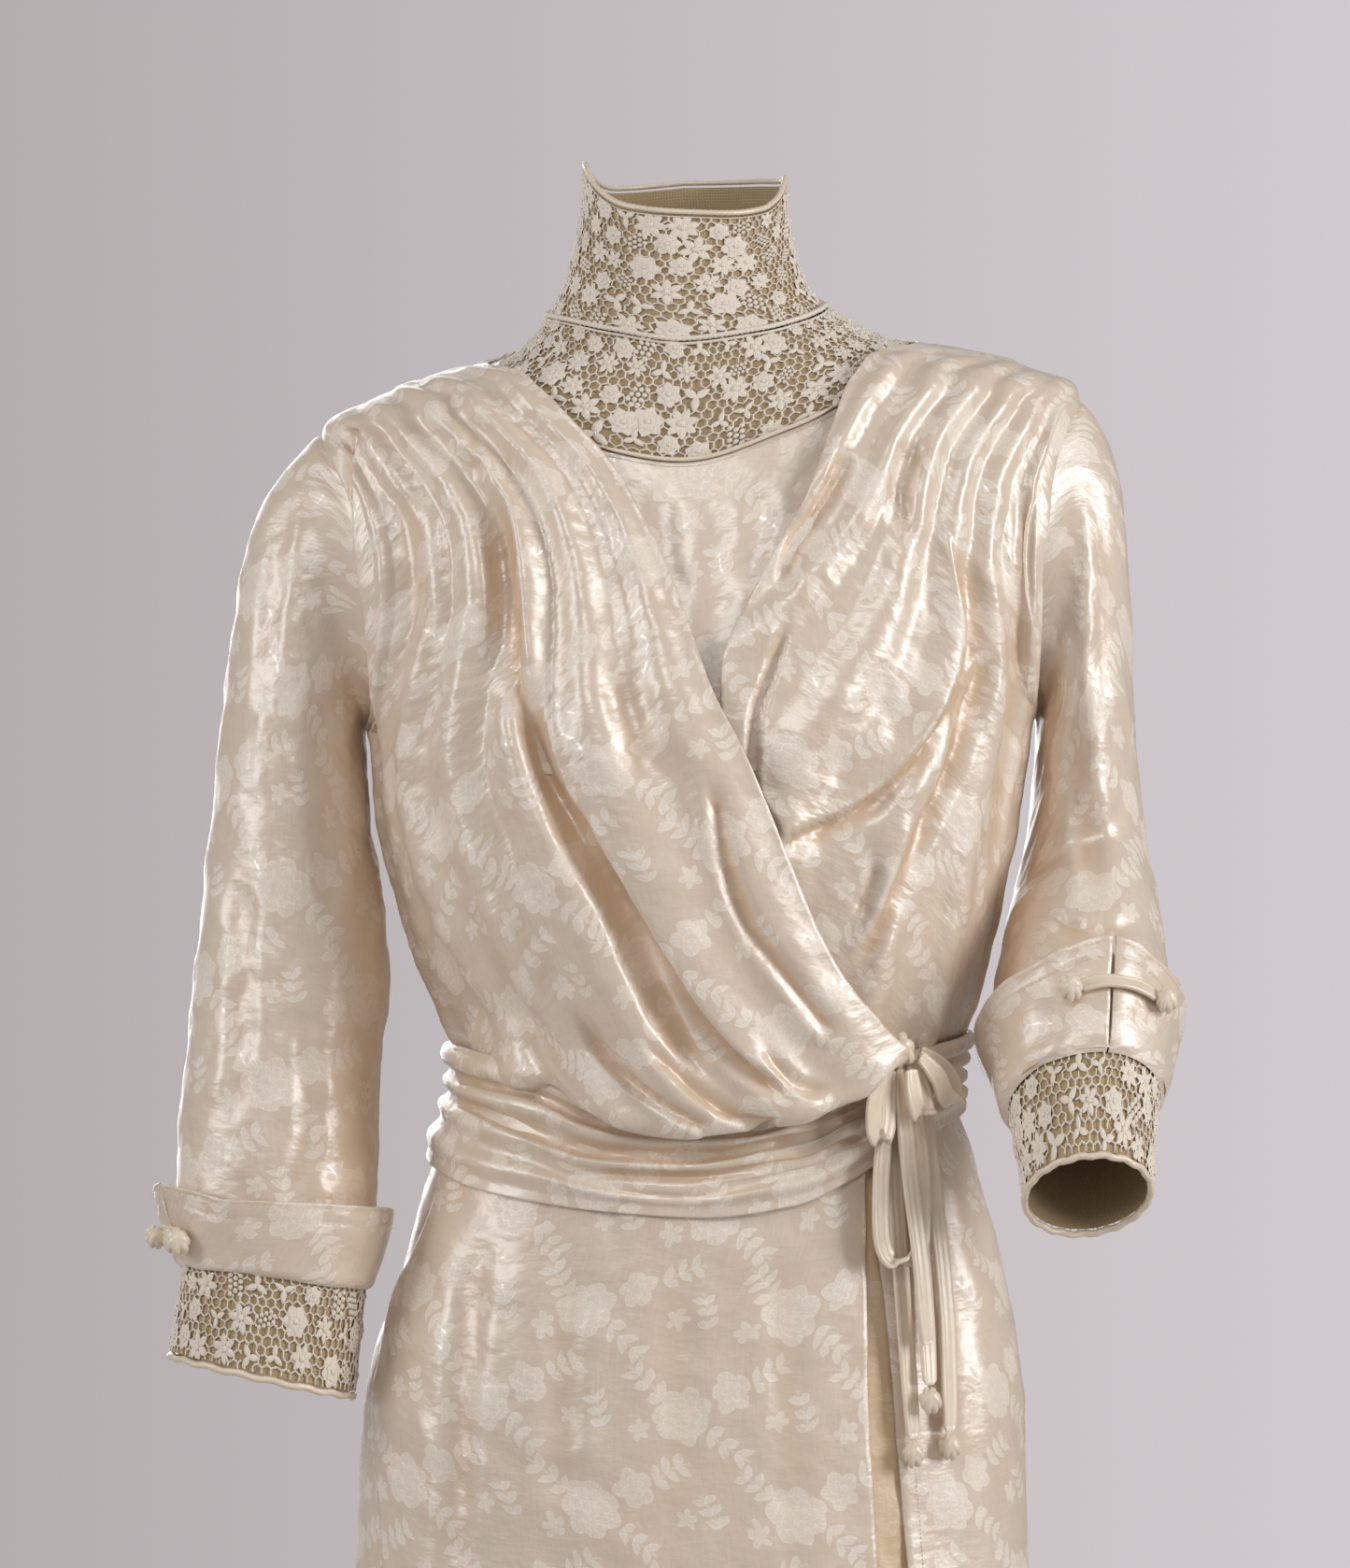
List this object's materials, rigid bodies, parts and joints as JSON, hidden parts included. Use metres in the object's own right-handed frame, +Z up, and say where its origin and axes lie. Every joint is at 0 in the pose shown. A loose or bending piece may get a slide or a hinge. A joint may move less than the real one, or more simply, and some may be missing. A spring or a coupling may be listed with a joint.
{
  "type": "tea gown",
  "caption": "Long silk damask tea gown in its worn shape: lace collar and yoke, crossed front, draped sash with a tied bow, turned-back cuffs and a lapped skirt.",
  "frame": {"origin": "between the shoulders, in the middle of the neck's base, where the wearer holds the gown up", "axes": "+Z up along the wearer, -Y towards the front of the gown, +X towards the wearer's left"},
  "size_m": [0.5626, 0.4643, 1.4767],
  "materials": {
    "damask": "ivory silk satin damask with tone-on-tone rose sprays, soft sheen",
    "damask_shaded": "the same damask in the shade of the skirt's opening, warmer",
    "satin": "plain ivory silk satin, cut on the bias for ties, knots, piping and bindings",
    "crochet_lace": "cream cotton crochet lace with raised flowers and leaves, matte",
    "net_lining": "beige-brown fine net behind the lace, matte"
  },
  "bodies": {
    "root": {"back_left": "damask", "back_right": "damask", "bow_knot": "satin", "collar_lace_back": "crochet_lace", "collar_lace_front": "crochet_lace", "collar_net": "net_lining", "collar_rim": "satin", "cuff_left": "damask", "cuff_right": "damask", "cuff_strap_left": "satin", "cuff_strap_right": "satin", "front_left": "damask", "front_right": "damask", "knot_button_left_1": "satin", "knot_button_left_2": "satin", "knot_button_right_1": "satin", "knot_button_right_2": "satin", "neckline_piping": "satin", "plastron": "damask", "sash_back": "damask", "sash_front": "damask", "skirt_back": "damask", "skirt_front": "damask", "skirt_underlap": "damask_shaded", "sleeve_left": "damask", "sleeve_right": "damask", "tie_knot_tail_inner": "satin", "tie_knot_tail_middle": "satin", "tie_knot_tail_outer": "satin", "tie_loop_folded": "satin", "tie_loop_front": "satin", "tie_loop_long": "satin", "tie_loop_outer": "satin", "tie_loop_short": "satin", "tie_tail_inner": "satin", "tie_tail_middle": "satin", "tie_tail_outer": "satin", "undercuff_binding_left": "satin", "undercuff_binding_right": "satin", "undercuff_lace_left_back": "crochet_lace", "undercuff_lace_left_front": "crochet_lace", "undercuff_lace_right_back": "crochet_lace", "undercuff_lace_right_front": "crochet_lace", "undercuff_net_left": "net_lining", "undercuff_net_right": "net_lining", "yoke_lace_back": "crochet_lace", "yoke_lace_front": "crochet_lace", "yoke_net": "net_lining"}
  },
  "joints": []
}
